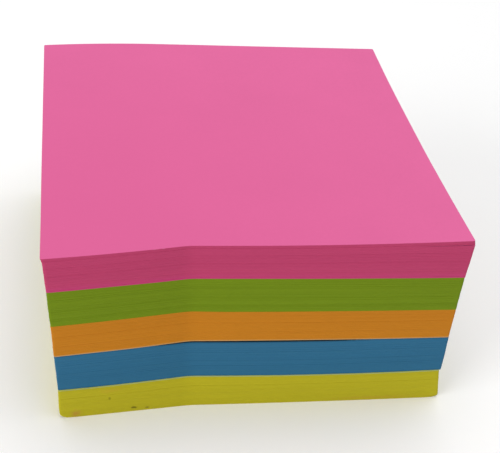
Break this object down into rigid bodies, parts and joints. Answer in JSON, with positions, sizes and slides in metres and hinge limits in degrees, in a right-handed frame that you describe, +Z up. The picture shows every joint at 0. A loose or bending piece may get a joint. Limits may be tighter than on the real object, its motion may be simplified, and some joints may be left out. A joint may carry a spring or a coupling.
{
  "type": "sticky note pad",
  "caption": "Square block of plain sticky notes: coloured pads stacked on each other, leaning a little, creased in front, with loose sheets on top",
  "frame": {"origin": "middle of the bottom sheet, on the table", "axes": "+Z up through the sheets, -Y towards the creased side of the block, +X to the right of it"},
  "size_m": [0.0803, 0.0795, 0.0426],
  "materials": {
    "yellow_paper": "edges of cut paper sheets",
    "blue_paper": "edges of cut paper sheets",
    "orange_paper": "edges of cut paper sheets",
    "green_paper": "edges of cut paper sheets",
    "pink_paper": "matt coloured paper"
  },
  "bodies": {
    "root": {"yellow_pad": "yellow_paper", "blue_pad": "blue_paper", "orange_pad": "orange_paper", "green_pad": "green_paper", "pink_pad": "pink_paper"}
  },
  "joints": []
}
